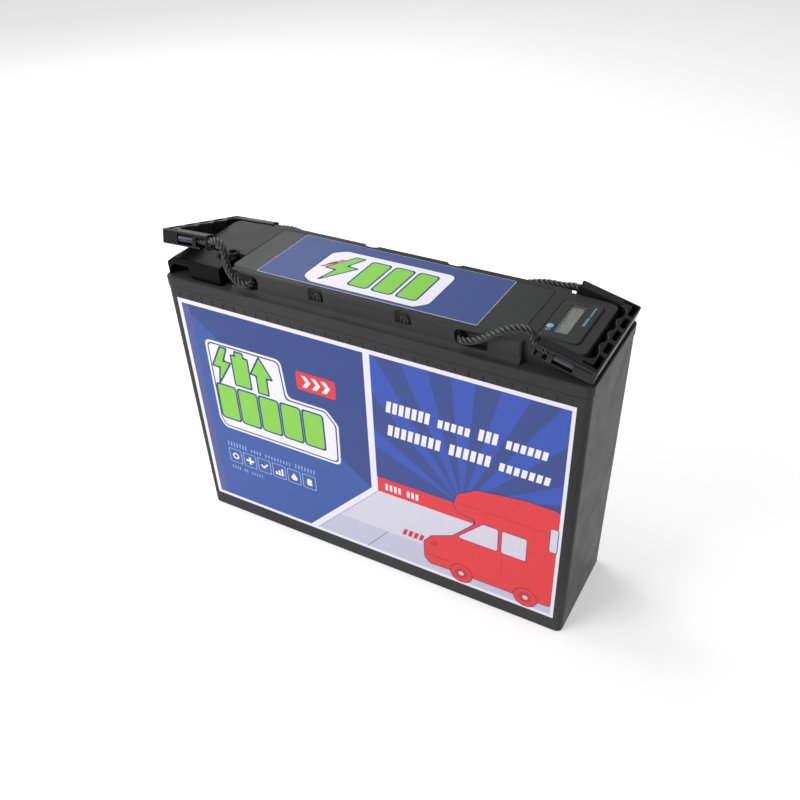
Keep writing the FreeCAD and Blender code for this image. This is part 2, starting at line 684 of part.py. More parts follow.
# ---- write the nodes ----------------------------------------------------------------------------
os.makedirs("parts", exist_ok=True)
save("case", make_case())
save("lid_seal", seal_ring())
save("lid", make_lid())
save("cover_panel", make_cover_panel())
save("front_label", make_front_label())
save("top_label", make_top_label())
save("display_housing", make_module())
save("display_lens", make_lens())
save("display_lcd", make_lcd())
save("display_board", make_board())
save("display_button", make_button())
save("display_switch", make_switch())
for side_name, side in (("right", 1), ("left", -1)):
    save(f"grip_{side_name}", placed(grip(), side))
    save(f"ferrules_{side_name}", group([placed(ferrule(s), side) for s in (-1, 1)]))
    save(f"rope_{side_name}", make_rope(side, f"rope {side_name}"))
save("terminal_negative", make_negative())
save("terminal_positive", make_positive())
save("terminal_cover", make_terminal_cover())
save("cover_tether", make_tether())
for cell_index in range(4):
    save(f"cell_{cell_index + 1}", make_cell(cell_index))
save("cell_posts", make_posts())
save("busbars", make_busbars())
save("post_nuts", make_nuts())
save("end_lugs", make_tabs())
save("cell_separators", make_separators())
save("insulation_boards", make_boards())
save("pack_straps", make_straps())
save("foam_pad", make_foam_pad())
save("foam_blocks", make_foam_blocks())
save("bms_heat_sink", make_bms_sink())
save("bms_board", make_bms_board())
save("bms_components", make_bms_parts())
save("bms_tray", make_bms_tray())
save("bms_screws", make_bms_screws())
save("positive_cable", make_positive_cable())
save("pack_negative_cable", make_negative_cable())
save("output_negative_cable", make_output_cable())
save("balance_lead", make_balance_lead())
save("display_lead", make_display_lead())
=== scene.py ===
import math

import bmesh
import bpy
from mathutils import Matrix, Vector
from mathutils.geometry import tessellate_polygon


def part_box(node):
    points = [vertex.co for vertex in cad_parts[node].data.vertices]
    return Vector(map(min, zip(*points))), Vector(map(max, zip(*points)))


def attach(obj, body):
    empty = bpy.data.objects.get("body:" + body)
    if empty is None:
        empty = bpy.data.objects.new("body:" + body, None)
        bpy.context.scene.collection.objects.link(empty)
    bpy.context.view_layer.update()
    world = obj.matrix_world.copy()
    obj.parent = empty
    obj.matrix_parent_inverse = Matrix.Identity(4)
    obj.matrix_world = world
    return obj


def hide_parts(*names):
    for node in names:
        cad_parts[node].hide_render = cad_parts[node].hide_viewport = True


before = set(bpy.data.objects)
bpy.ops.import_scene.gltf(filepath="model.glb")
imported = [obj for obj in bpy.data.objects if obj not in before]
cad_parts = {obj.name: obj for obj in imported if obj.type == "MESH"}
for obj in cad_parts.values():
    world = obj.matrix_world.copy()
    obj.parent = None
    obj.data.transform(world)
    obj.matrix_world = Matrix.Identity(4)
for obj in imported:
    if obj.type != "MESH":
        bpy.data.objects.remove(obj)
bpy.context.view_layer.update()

# Everything is in metres in the CAD frame. Artwork is laid out in millimetres and scaled by MM.
MM = 0.001
SCENE = bpy.context.scene


# ---- camera, light and floor --------------------------------------------------------------------
CAMERA_TARGET = Vector((0.0129, 0.0, 0.1229))
CAMERA_AZIMUTH = 29.98
CAMERA_ELEVATION = 37.99
CAMERA_ROLL = -1.93
CAMERA_DISTANCE = 0.8036
CAMERA_LENS = 38.75
CAMERA_SHIFT = (-0.0074, 0.0465)


def make_camera():
    azimuth, elevation, roll = (math.radians(a) for a in (CAMERA_AZIMUTH, CAMERA_ELEVATION, CAMERA_ROLL))
    level = math.cos(elevation)
    back = Vector((math.sin(azimuth) * level, -math.cos(azimuth) * level, math.sin(elevation)))
    right = Vector((math.cos(azimuth), math.sin(azimuth), 0.0))
    up = back.cross(right)
    axis_x = right * math.cos(roll) + up * math.sin(roll)
    axis_y = up * math.cos(roll) - right * math.sin(roll)
    data = bpy.data.cameras.new("camera")
    data.sensor_width = 36.0
    data.lens = CAMERA_LENS
    data.shift_x, data.shift_y = CAMERA_SHIFT
    data.clip_start, data.clip_end = 0.02, 20.0
    camera = bpy.data.objects.new("camera", data)
    camera.matrix_world = Matrix((axis_x, axis_y, back)).transposed().to_4x4()
    camera.location = CAMERA_TARGET + back * CAMERA_DISTANCE
    SCENE.collection.objects.link(camera)
    SCENE.camera = camera


WORLD_STRENGTH = 0.36
FLOOR_GLOW = 0.38              # keeps the pale floor white behind the part
FLOOR_HALF = 6.0
BODY_MIDDLE = (0.0, 0.0, 0.16)
LID_MIDDLE = (-0.05, 0.0, 0.28)
LIGHTS = [
    # name, place, aim, size, watts
    ("key_left", (-1.1, -1.5, 1.5), BODY_MIDDLE, (1.3, 1.3), 27.0),
    ("fill_right", (1.9, -0.5, 0.9), BODY_MIDDLE, (1.4, 1.2), 0.3),
    ("top_left", (-0.75, 0.15, 1.4), LID_MIDDLE, (0.9, 0.9), 9.0),
    ("sheen_back", (-1.4, 1.15, 1.35), LID_MIDDLE, (1.0, 0.9), 6.5),
]


def area_light(name, at, aim, size, power):
    data = bpy.data.lights.new(name, "AREA")
    data.shape = "RECTANGLE"
    data.size, data.size_y = size
    data.energy = power
    light = bpy.data.objects.new(name, data)
    light.location = at
    light.rotation_mode = "QUATERNION"
    light.rotation_quaternion = (Vector(aim) - Vector(at)).to_track_quat("-Z", "Y")
    SCENE.collection.objects.link(light)


def make_light():
    world = bpy.data.worlds.new("studio")
    world.use_nodes = True
    background = world.node_tree.nodes["Background"]
    background.inputs["Color"].default_value = (1.0, 1.0, 1.0, 1.0)
    background.inputs["Strength"].default_value = WORLD_STRENGTH
    SCENE.world = world
    for light in LIGHTS:
        area_light(*light)
    SCENE.view_settings.view_transform = "Standard"


# ---- materials ----------------------------------------------------------------------------------
def linear(colour):
    """sRGB, 0 to 255, as the linear colour that a shader takes."""
    made = []
    for c in colour:
        c = c / 255.0
        made.append(c / 12.92 if c <= 0.04045 else ((c + 0.055) / 1.055) ** 2.4)
    return (*made, 1.0)


class Surface:
    """One material's node tree, built up in steps from the piece's own coordinates."""

    def __init__(self, name):
        self.material = bpy.data.materials.new(name)
        self.material.use_nodes = True
        self.nodes = self.material.node_tree.nodes
        self.links = self.material.node_tree.links
        self.shader = self.nodes["Principled BSDF"]
        self.place = self.nodes.new("ShaderNodeTexCoord").outputs["Object"]

    def set(self, **values):
        for socket, value in values.items():
            self.shader.inputs[socket.replace("_", " ")].default_value = value
        return self

    def noise(self, scale, detail=4.0, rough=0.55, stretch=None):
        node = self.nodes.new("ShaderNodeTexNoise")
        node.inputs["Scale"].default_value = scale
        node.inputs["Detail"].default_value = detail
        node.inputs["Roughness"].default_value = rough
        vector = self.place
        if stretch:
            mapping = self.nodes.new("ShaderNodeMapping")
            mapping.inputs["Scale"].default_value = stretch
            self.links.new(self.place, mapping.inputs["Vector"])
            vector = mapping.outputs["Vector"]
        self.links.new(vector, node.inputs["Vector"])
        return node.outputs["Fac"]

    def cells(self, scale):
        node = self.nodes.new("ShaderNodeTexVoronoi")
        node.inputs["Scale"].default_value = scale
        self.links.new(self.place, node.inputs["Vector"])
        return node.outputs["Distance"]

    def spread(self, value, low, high, to_low, to_high):
        node = self.nodes.new("ShaderNodeMapRange")
        numbers = (("From Min", low), ("From Max", high), ("To Min", to_low), ("To Max", to_high))
        for socket, number in numbers:
            node.inputs[socket].default_value = number
        self.links.new(value, node.inputs["Value"])
        return node.outputs["Result"]

    def mix(self, factor, first, second):
        node = self.nodes.new("ShaderNodeMix")
        node.data_type = "RGBA"
        self.links.new(factor, node.inputs["Factor"])
        for socket, colour in (("A", first), ("B", second)):
            target = [s for s in node.inputs if s.name == socket and s.type == "RGBA"][0]
            if isinstance(colour, tuple):
                target.default_value = colour
            else:
                self.links.new(colour, target)
        return [s for s in node.outputs if s.type == "RGBA"][0]

    def times(self, first, second):
        node = self.nodes.new("ShaderNodeMath")
        node.operation = "MULTIPLY"
        self.links.new(first, node.inputs[0])
        self.links.new(second, node.inputs[1])
        return node.outputs["Value"]

    def colour(self, value):
        self.links.new(value, self.shader.inputs["Base Color"])
        return self

    def mottled(self, pattern, low, high, first, second):
        """Base colour that goes from the first colour to the second along the pattern."""
        return self.colour(self.mix(self.spread(pattern, low, high, 0.0, 1.0), first, second))

    def roughness(self, value):
        self.links.new(value, self.shader.inputs["Roughness"])
        return self

    def bumps(self, *heights, edge=0.0):
        """Each height is a pattern and its depth in metres. edge rounds sharp corners by that radius."""
        normal = None
        if edge:
            bevel = self.nodes.new("ShaderNodeBevel")
            bevel.samples = 4
            bevel.inputs["Radius"].default_value = edge
            normal = bevel.outputs["Normal"]
        for value, depth in heights:
            node = self.nodes.new("ShaderNodeBump")
            node.inputs["Distance"].default_value = depth
            self.links.new(value, node.inputs["Height"])
            if normal:
                self.links.new(normal, node.inputs["Normal"])
            normal = node.outputs["Normal"]
        self.links.new(normal, self.shader.inputs["Normal"])
        return self


def moulded(name, colour, worn, rough=(0.34, 0.46), grain=0.00006, dust=0.35,
            edge=0.0004, shine=0.26):
    """Injection-moulded plastic: spark-eroded grain, faint flow marks, pale dust and rounded edges."""
    s = Surface(name).set(Specular_IOR_Level=shine)
    flow = s.noise(7.0, 5.0, 0.6)
    body = s.mix(s.spread(flow, 0.35, 0.68, 0.0, 1.0), linear(colour), linear(worn))
    specks = s.spread(s.cells(95.0), 0.03, 0.06, 1.0, 0.0)
    patches = s.spread(s.noise(23.0, 2.0), 0.55, 0.72, 0.0, dust)
    s.colour(s.mix(s.times(specks, patches), body, linear((190, 190, 192))))
    s.roughness(s.spread(s.noise(31.0, 6.0, 0.7), 0.3, 0.7, *rough))
    s.bumps((s.noise(1500.0, 2.0, 0.5), grain), (s.noise(60.0, 3.0), grain * 1.5), edge=edge)
    return s.material


def rubbery(name, colour, worn, rough=(0.55, 0.75)):
    s = Surface(name)
    s.mottled(s.noise(40.0, 5.0), 0.3, 0.7, linear(colour), linear(worn))
    s.roughness(s.spread(s.noise(90.0, 4.0), 0.3, 0.7, *rough))
    s.bumps((s.noise(900.0, 3.0), 0.00008))
    return s.material


def metal(name, colour, worn, rough=(0.22, 0.42), lines=(1.0, 1.0, 9.0)):
    """Turned, rolled or plated metal: fine drawn lines and a slow change of tone."""
    s = Surface(name).set(Metallic=1.0)
    s.mottled(s.noise(55.0, 5.0, 0.65), 0.3, 0.7, linear(colour), linear(worn))
    s.roughness(s.spread(s.noise(240.0, 4.0, 0.7, lines), 0.3, 0.7, *rough))
    s.bumps((s.noise(700.0, 3.0, 0.6, lines), 0.00003), edge=0.0002)
    return s.material


def board(name, colour, worn):
    """Laminated board: woven glass showing faintly through the resin."""
    s = Surface(name)
    s.mottled(s.noise(260.0, 3.0), 0.35, 0.65, linear(colour), linear(worn))
    s.roughness(s.spread(s.noise(120.0, 3.0), 0.3, 0.7, 0.3, 0.48))
    s.bumps((s.noise(1100.0, 2.0, 0.5, (1.0, 1.0, 3.0)), 0.00005))
    return s.material


def printed(name, colour, gloss=(0.34, 0.44)):
    """Ink under a clear laminate: a slight mottle, faint banding and orange peel."""
    s = Surface(name).set(Specular_IOR_Level=0.14)
    shade = tuple(c * 0.955 for c in colour)
    s.mottled(s.noise(900.0, 2.0, 0.6), 0.35, 0.65, linear(colour), linear(shade))
    s.roughness(s.spread(s.noise(14.0, 4.0, 0.6), 0.35, 0.65, *gloss))
    s.bumps((s.noise(420.0, 2.0, 0.5), 0.000012))
    return s.material


def glassy(name):
    s = Surface(name).set(Transmission_Weight=1.0, IOR=1.46)
    s.mottled(s.noise(30.0, 3.0), 0.3, 0.7, (0.93, 0.95, 0.92, 1.0), (0.97, 0.98, 0.97, 1.0))
    s.roughness(s.spread(s.noise(60.0, 3.0), 0.3, 0.7, 0.02, 0.07))
    return s.material


def strand_fibre(name):
    """Black nylon: bright glints along the strands and dull dust between them."""
    s = Surface(name).set(Coat_Weight=0.3, Coat_Roughness=0.18)
    s.mottled(s.noise(300.0, 4.0), 0.4, 0.75, linear((8, 8, 9)), linear((34, 34, 37)))
    s.roughness(s.spread(s.noise(500.0, 3.0), 0.3, 0.7, 0.28, 0.5))
    s.bumps((s.noise(2600.0, 2.0), 0.00006))
    return s.material


def floor_material():
    s = Surface("studio_floor")
    s.mottled(s.noise(2.0, 2.0), 0.3, 0.7, linear((246, 246, 247)), linear((250, 250, 251)))
    s.set(Roughness=0.7, Specular_IOR_Level=0.2)
    s.set(Emission_Color=(1.0, 1.0, 1.0, 1.0), Emission_Strength=FLOOR_GLOW)
    return s.material


# One finish for each slot name of the record. Each entry makes the material of the name it is given.
FINISHES = {
    "case_plastic": lambda n: moulded(n, (54, 54, 55), (63, 63, 64), rough=(0.30, 0.44), shine=0.07),
    "panel_plastic": lambda n: moulded(n, (46, 47, 47), (56, 57, 57), rough=(0.4, 0.5), grain=0.00008),
    "cover_plastic": lambda n: moulded(
        n, (5, 5, 6), (10, 10, 11), rough=(0.3, 0.4), dust=0.08, shine=0.06),
    "seal_rubber": lambda n: rubbery(n, (14, 14, 14), (24, 24, 24)),
    "label_film": lambda n: printed(n, (236, 234, 245)),
    "clear_lens": glassy,
    "lcd_panel": lambda n: printed(n, (150, 152, 145), gloss=(0.2, 0.3)),
    "circuit_board": lambda n: board(n, (12, 74, 42), (20, 96, 56)),
    "circuit_parts": lambda n: moulded(n, (26, 26, 28), (44, 44, 46), dust=0.0, edge=0.0002),
    "button_plastic": lambda n: moulded(n, (112, 170, 200), (128, 184, 212), dust=0.0, edge=0.0),
    "grip_plastic": lambda n: moulded(n, (24, 24, 25), (32, 32, 33), rough=(0.22, 0.32)),
    "ferrule_metal": lambda n: metal(n, (62, 62, 66), (84, 84, 88), rough=(0.3, 0.45)),
    "rope_fibre": strand_fibre,
    "brass": lambda n: metal(n, (214, 176, 98), (190, 148, 76)),
    "aluminium": lambda n: metal(n, (205, 206, 210), (184, 186, 190)),
    "copper": lambda n: metal(n, (206, 128, 92), (178, 100, 70), rough=(0.28, 0.46)),
    "plated_steel": lambda n: metal(n, (190, 190, 186), (160, 160, 156)),
    "insulation": lambda n: board(n, (176, 172, 128), (194, 190, 148)),
    "strap_band": lambda n: rubbery(n, (30, 84, 56), (42, 104, 72), rough=(0.3, 0.45)),
    "foam": lambda n: rubbery(n, (46, 46, 48), (66, 66, 68), rough=(0.8, 0.95)),
    "tray_plastic": lambda n: moulded(n, (52, 52, 54), (64, 64, 66), dust=0.0),
    "cell_can": lambda n: printed(n, (36, 96, 168)),
    "cable_red": lambda n: rubbery(n, (176, 26, 28), (196, 44, 44)),
    "cable_black": lambda n: rubbery(n, (24, 24, 25), (38, 38, 40)),
    "lead_grey": lambda n: rubbery(n, (140, 140, 142), (160, 160, 162)),
}

# The printed colours, sRGB.
INKS = {
    "ink_white": (240, 238, 248),
    "ink_navy": (62, 80, 140),
    "ink_blue": (68, 94, 165),
    "ink_violet": (88, 97, 154),
    "ink_mauve": (120, 96, 150),
    "ink_ray": (66, 91, 182),
    "ink_dusk": (66, 82, 144),
    "ink_outline": (44, 66, 132),
    "ink_green": (140, 209, 84),
    "ink_red": (227, 68, 72),
    "ink_red_deep": (200, 62, 66),
    "ink_lilac": (214, 212, 226),
    "ink_grey": (202, 203, 220),
    "ink_hatch": (186, 188, 212),
    "ink_pale": (158, 176, 222),
    "ink_glass": (216, 213, 227),
    "ink_slate": (112, 122, 160),
    "ink_cyan": (120, 176, 204),
    # the display's field: painted bezel shading, not print
    "ink_lcd": (170, 172, 164),
    "ink_top": (71, 89, 142),
}

made_materials = {}


def material(name):
    """The finish or ink of that name, made once."""
    if name not in made_materials:
        made_materials[name] = FINISHES[name](name) if name in FINISHES else printed(name, INKS[name])
    return made_materials[name]


def paint_cad_nodes():
    """Each CAD node gets the full material for the record's slot that it carries."""
    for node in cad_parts.values():
        slot = node.data.materials[0].name.split(".")[0]
        node.data.materials.clear()
        node.data.materials.append(material(slot))


# ---- flat shapes --------------------------------------------------------------------------------
def rect(a0, b0, a1, b1):
    return [(a0, b0), (a1, b0), (a1, b1), (a0, b1)]


def disc(a, b, r, steps=28):
    turns = [math.tau * k / steps for k in range(steps)]
    return [(a + r * math.cos(turn), b + r * math.sin(turn)) for turn in turns]


def area(points):
    return sum(p[0] * q[1] - q[0] * p[1] for p, q in zip(points, points[1:] + points[:1])) / 2


def grow(points, by):
    """Outline moved outwards by a distance, corners kept sharp."""
    turn = 1.0 if area(points) > 0 else -1.0
    made = []
    for i, point in enumerate(points):
        p = Vector(point)
        into = (p - Vector(points[i - 1])).normalized()
        out = (Vector(points[(i + 1) % len(points)]) - p).normalized()
        n0, n1 = Vector((into.y, -into.x)) * turn, Vector((out.y, -out.x)) * turn
        made.append(tuple(p + (n0 + n1) * (by / (1.0 + n0.dot(n1)))))
    return made


def soft(points, radius, steps=6):
    """Outline with its corners rounded, by less where a side is too short."""
    made = []
    for i, point in enumerate(points):
        p = Vector(point)
        a, b = Vector(points[i - 1]) - p, Vector(points[(i + 1) % len(points)]) - p
        half = a.angle(b) / 2
        reach = min(radius / math.tan(half), 0.48 * a.length, 0.48 * b.length)
        start, end = p + a.normalized() * reach, p + b.normalized() * reach
        for k in range(steps + 1):
            t = k / steps
            made.append(tuple(start * (1 - t) ** 2 + p * (2 * t * (1 - t)) + end * t * t))
    return made


def scaled(points, a, b, width, height):
    """A symbol laid out in a unit square, moved to (a, b) at its real width and height."""
    return [(a + u * width, b + v * height) for u, v in points]


# Symbols, each in a unit square.
BOLT = [(0.58, 1.0), (0.04, 0.43), (0.42, 0.43), (0.26, 0.0), (0.96, 0.6), (0.56, 0.6), (0.86, 1.0)]
CELL = [(0.0, 0.0), (1.0, 0.0), (1.0, 0.86), (0.72, 0.86), (0.72, 1.0), (0.28, 1.0), (0.28, 0.86),
        (0.0, 0.86)]
ARROW = [(0.5, 1.0), (0.0, 0.5), (0.27, 0.5), (0.27, 0.0), (0.73, 0.0), (0.73, 0.5), (1.0, 0.5)]
CHEVRON = [(0.0, 0.0), (0.5, 0.0), (1.0, 0.5), (0.5, 1.0), (0.0, 1.0), (0.5, 0.5)]
CHECK = [(0.0, 0.5), (0.14, 0.64), (0.38, 0.4), (0.86, 0.92), (1.0, 0.78), (0.38, 0.1)]
PLUS = [(0.36, 0.0), (0.64, 0.0), (0.64, 0.36), (1.0, 0.36), (1.0, 0.64), (0.64, 0.64), (0.64, 1.0),
        (0.36, 1.0), (0.36, 0.64), (0.0, 0.64), (0.0, 0.36), (0.36, 0.36)]
BARS = [(0.0, 0.0), (1.0, 0.0), (1.0, 0.95), (0.76, 0.95), (0.76, 0.1), (0.62, 0.1), (0.62, 0.66),
        (0.38, 0.66), (0.38, 0.1), (0.24, 0.1), (0.24, 0.4), (0.0, 0.4)]
DROP = [(0.5, 1.0), (0.16, 0.48), (0.12, 0.26), (0.3, 0.04), (0.7, 0.04), (0.88, 0.26), (0.84, 0.48)]


def dashes(words, a, b, pitch, stroke, height, slant):
    """A row of slanted strokes in groups: a plain stand-in for a line of small print."""
    made, count = [], 0
    for word in words:
        for k in range(word):
            tall = height * (1.0 if (count * 3 + k) % 4 == 0 else 0.74)
            lean = slant * tall / height
            made.append([(a, b), (a + stroke, b), (a + stroke + lean, b + tall), (a + lean, b + tall)])
            a += pitch
            count += 1
        a += pitch
    return made


class Artwork:
    """Flat coloured layers on one face, one piece for each ink.

    place turns (a, b, lift) in millimetres into a point of the frame. A plate of level n is the
    n-th layer above the face.
    """

    LAYER = 0.025              # thickness of one layer

    def __init__(self, name, place, slot):
        self.name, self.place, self.slot = name, place, slot
        self.shapes = {}

    def add(self, ink, level, outline, *holes):
        self.shapes.setdefault(ink, []).append((level, [outline, *holes]))

    def plate(self, mesh, level, loops):
        low, high = (level - 1) * self.LAYER, level * self.LAYER
        triangles = tessellate_polygon([[Vector((a, b, 0.0)) for a, b in loop] for loop in loops])
        points = [p for loop in loops for p in loop]
        under = [mesh.verts.new(self.place(a, b, low)) for a, b in points]
        over = [mesh.verts.new(self.place(a, b, high)) for a, b in points]
        for i, j, k in triangles:
            mesh.faces.new((over[i], over[j], over[k]))
            mesh.faces.new((under[k], under[j], under[i]))
        first = 0
        for loop in loops:
            for i in range(len(loop)):
                p, q = first + i, first + (i + 1) % len(loop)
                mesh.faces.new((under[p], under[q], over[q], over[p]))
            first += len(loop)

    def build(self, body):
        for ink, plates in self.shapes.items():
            mesh = bmesh.new()
            for level, loops in plates:
                self.plate(mesh, level, loops)
            bmesh.ops.recalc_face_normals(mesh, faces=mesh.faces)
            add_piece(f"{self.name}_{ink.removeprefix('ink_')}", mesh, ink, body)


def add_piece(name, mesh, finish, body):
    """Turns a bmesh into a piece with a finish, riding on a body."""
    data = bpy.data.meshes.new(name)
    mesh.to_mesh(data)
    mesh.free()
    piece = bpy.data.objects.new(name, data)
    piece.data.materials.append(material(finish))
    SCENE.collection.objects.link(piece)
    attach(piece, body)
    return piece


# ---- front label --------------------------------------------------------------------------------
FRONT_LOW, FRONT_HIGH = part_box("front_label")
FILM = 0.3                     # thickness of the label's film
LABEL_W = (FRONT_HIGH.x - FRONT_LOW.x) / MM
LABEL_H = (FRONT_HIGH.z - FRONT_LOW.z) / MM


def on_front(a, b, lift):
    """a from the label's left edge, b up from its lower edge, on the film's drafted outer face."""
    foot = FRONT_HIGH.y - FILM * MM
    y = foot + (FRONT_LOW.y - foot) * b / LABEL_H
    return (FRONT_LOW.x + a * MM, y - lift * MM, FRONT_LOW.z + b * MM)


# Layout of the front label, in millimetres from its lower left corner.
BORDER = 3.7
PANEL_RIGHT = 192.6            # right edge of the left panel
PANEL_KNEE = 82.2              # below this its edge runs down to the left
PANEL_FOOT = 117.5
SUN = (283.5, 98.0)            # where the rays meet
# Rays in degrees from straight up. All but the first are mirrored.
RAYS = [(-4.8, 4.6), (13.8, 23.4), (31.8, 42.5), (57.0, 67.0)]
SKY = (199.0, 98.0, LABEL_W - BORDER + 0.6, LABEL_H - BORDER - 0.3)
ROAD_EDGE = (126.8, 200.0)     # left edge of the pale ground at its foot and at its far end
ROAD_FAR = 80.6
ROAD_NEAR = 32.5               # the hatched part is below this
VAN = [(371.0, 13.0), (357.5, 13.0), (336.0, 13.0), (296.5, 13.0), (271.0, 13.0), (252.0, 12.0),
       (246.5, 18.0), (246.0, 38.0), (254.0, 48.0), (275.0, 57.5), (301.0, 86.0), (279.5, 88.5),
       (275.5, 96.0), (279.0, 109.0), (297.0, 120.5), (340.0, 126.5), (371.0, 126.5)]
VAN_RIGHT = LABEL_W - BORDER + 0.6
WHEELS = ((284.0, 13.5), (347.0, 13.5))


def ray_outline(start, end):
    a0, _, a1, b1 = SKY

    def edge(angle):
        """Where a line from the sun at that angle from straight up leaves the sky."""
        s, c = math.sin(math.radians(angle)), math.cos(math.radians(angle))
        reach = (b1 - SUN[1]) / c
        if abs(s) > 1e-6:
            reach = min(reach, (a1 - SUN[0]) / s if s > 0 else (a0 - SUN[0]) / s)
        return (SUN[0] + reach * s, SUN[1] + reach * c)

    points = [SUN, edge(start), edge(end)]
    for corner in ((a0, b1), (a1, b1)):
        at = math.degrees(math.atan2(corner[0] - SUN[0], corner[1] - SUN[1]))
        if start < at < end:
            points.insert(2, corner)
    return points


def left_panel(art):
    top, left = LABEL_H - BORDER - 0.4, BORDER + 0.3
    knee, corner = (PANEL_RIGHT, PANEL_KNEE), (PANEL_RIGHT, top)
    art.add("ink_blue", 1, [(left, BORDER), (PANEL_FOOT, BORDER), knee, corner, (left, top)])
    art.add("ink_navy", 2, [(11.8, 217.9), knee, corner, (11.8, top)])
    art.add("ink_violet", 2, rect(left, BORDER, 11.6, top))
    for a in (6.3, 11.3):
        art.add("ink_mauve", 3, rect(a, BORDER, a + 0.5, top))


def emblem(art):
    """Charge symbols in the chunky outlined style of a rating block."""
    group = [(28, 190), (28, 149), (28, 107), (31, 101), (156, 101), (157, 140), (148, 151),
             (105, 151), (102, 190)]
    art.add("ink_white", 3, soft(grow(group, 5.2), 7.0))
    art.add("ink_outline", 4, soft(grow(group, 3.0), 6.0))
    art.add("ink_white", 5, soft(grow(group, 1.6), 5.0))
    symbols = [scaled(BOLT, 27.5, 152, 21, 37.5), scaled(CELL, 51.5, 153, 17, 36),
               scaled(ARROW, 72, 152, 21.5, 37.5)]
    bars = [rect(28.2 + 24.1 * k, 109, 48.6 + 24.1 * k, 147) for k in range(5)]
    for outline, corner in [(s, 0.8) for s in symbols] + [(b, 3.2) for b in bars]:
        art.add("ink_outline", 6, soft(grow(outline, 1.7), corner + 1.0))
        art.add("ink_green", 7, soft(outline, corner))


def small_print(art):
    """The red badge, two rows of small strokes and six symbols in frames."""
    art.add("ink_red", 3, soft(rect(122, 170, 162.5, 189.2), 2.6))
    for k in range(3):
        art.add("ink_white", 4, scaled(CHEVRON, 127.5 + 10.2 * k, 173.6, 9.4, 12.0))
    for shape in dashes((7, 4, 9, 7), 26.5, 72.4, 3.5, 1.3, 5.4, 0.3):
        art.add("ink_pale", 3, shape)
    for shape in dashes((4, 2, 5), 26.8, 42.8, 3.0, 1.1, 4.4, 0.2):
        art.add("ink_pale", 3, shape)
    icons = (disc(0.5, 0.5, 0.42), PLUS, CHECK, BARS, DROP, scaled(CELL, 0.2, 0.05, 0.6, 0.9))
    for k, icon in enumerate(icons):
        a = 25.8 + 17.65 * k
        inside = soft(rect(a + 0.9, 52.6, a + 14.7, 68.4), 1.3)
        art.add("ink_pale", 3, soft(rect(a, 51.7, a + 15.6, 69.3), 1.8), inside)
        holes = [scaled(disc(0.5, 0.5, 0.24), a + 3.2, 55.6, 9.4, 9.4)] if k == 0 else []
        art.add("ink_white", 3, scaled(icon, a + 3.2, 55.6, 9.4, 9.4), *holes)


def right_panel(art):
    """Rays in the sky, two rows of strokes on them and the red strip below."""
    art.add("ink_dusk", 1, rect(*SKY))
    for start, end in RAYS + [(-end, -start) for start, end in RAYS[1:]]:
        art.add("ink_ray", 2, ray_outline(start, end))
    upper_row = dashes((7, 5, 3, 6), 211.8, 174.4, 6.05, 4.3, 11.6, 1.7)
    lower_row = dashes((8, 6, 7), 212.4, 150.0, 6.45, 4.5, 11.6, 1.7)
    for shape in upper_row + lower_row:
        art.add("ink_white", 3, shape)
    art.add("ink_red", 2, rect(SKY[0] + 0.4, 81.0, 301.0, SKY[1]))
    for shape in dashes((4, 3), 207.5, 85.4, 4.4, 2.6, 7.2, 0.0):
        art.add("ink_white", 3, shape)


def road(art):
    """Pale ground below the sky, with a hatched nearer part."""
    far, near, foot = ROAD_FAR, ROAD_NEAR, BORDER
    right = SKY[2]

    def edge(b):
        return ROAD_EDGE[0] + (b - foot) * (ROAD_EDGE[1] - ROAD_EDGE[0]) / (far - foot)

    def band(low, high):
        return [(edge(low), low), (right, low), (right, high), (edge(high), high)]

    art.add("ink_lilac", 1, band(foot, far))
    art.add("ink_grey", 2, band(foot, near))
    for k in range(18):
        b = foot + 1.0 + 1.6 * k
        art.add("ink_hatch", 3, band(b, b + 0.45))
    kerb = [(edge(foot) - 0.9, foot), (edge(foot) - 0.2, foot)]
    art.add("ink_slate", 2, kerb + [(edge(far) - 0.2, far), (edge(far) - 0.9, far)])
    art.add("ink_blue", 4, [(183.4, foot), (184.2, foot), (207.9, near), (207.1, near)])
    for shape in dashes((4,), 223.0, 36.8, 5.7, 3.8, 7.8, 2.6):
        art.add("ink_red_deep", 2, shape)


def camper(art):
    """A plain camper in side view, cut off by the panel's right edge."""
    art.add("ink_outline", 4, [(min(a, VAN_RIGHT), b) for a, b in soft(grow(VAN, 0.8), 5.6)])
    art.add("ink_red", 5, [(min(a, VAN_RIGHT), b) for a, b in soft(VAN, 5.0)])
    for a, b in WHEELS:
        art.add("ink_outline", 5, disc(a, b, 11.6, 40))
        art.add("ink_red", 6, disc(a, b, 10.9, 40))
        art.add("ink_red_deep", 7, disc(a, b, 6.4, 32))
        art.add("ink_grey", 8, disc(a, b, 2.6, 20))
    panes = [[(279.5, 58.5), (304.0, 84.0), (318.0, 84.0), (318.0, 58.5)],
             rect(322.0, 58.5, 344.5, 84.0),
             rect(364.5, 80.0, VAN_RIGHT, 106.0)]
    for pane in panes:
        art.add("ink_outline", 6, soft(grow(pane, 0.6), 2.4))
        art.add("ink_glass", 7, soft(pane, 2.0))
    waist = rect(281.0, 99.0, 371.0, 100.0)
    lamp = soft([(250.0, 36.0), (258.0, 36.0), (262.0, 43.0), (256.0, 43.0)], 1.6)
    bumper = rect(247.5, 22.0, 271.0, 24.2)
    door = rect(322.0, 30.0, 323.0, 55.0)
    for shape in (waist, lamp, bumper, door):
        art.add("ink_red_deep", 6, shape)


def make_front_art():
    art = Artwork("front_print", on_front, "label_film")
    for part in (left_panel, emblem, small_print, right_panel, road, camper):
        part(art)
    art.build("battery")


# ---- top label and display marks ----------------------------------------------------------------
TOP_LOW, TOP_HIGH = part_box("top_label")


def on_top(a, b, lift):
    return (TOP_LOW.x + a * MM, TOP_LOW.y + b * MM, TOP_HIGH.z + lift * MM)


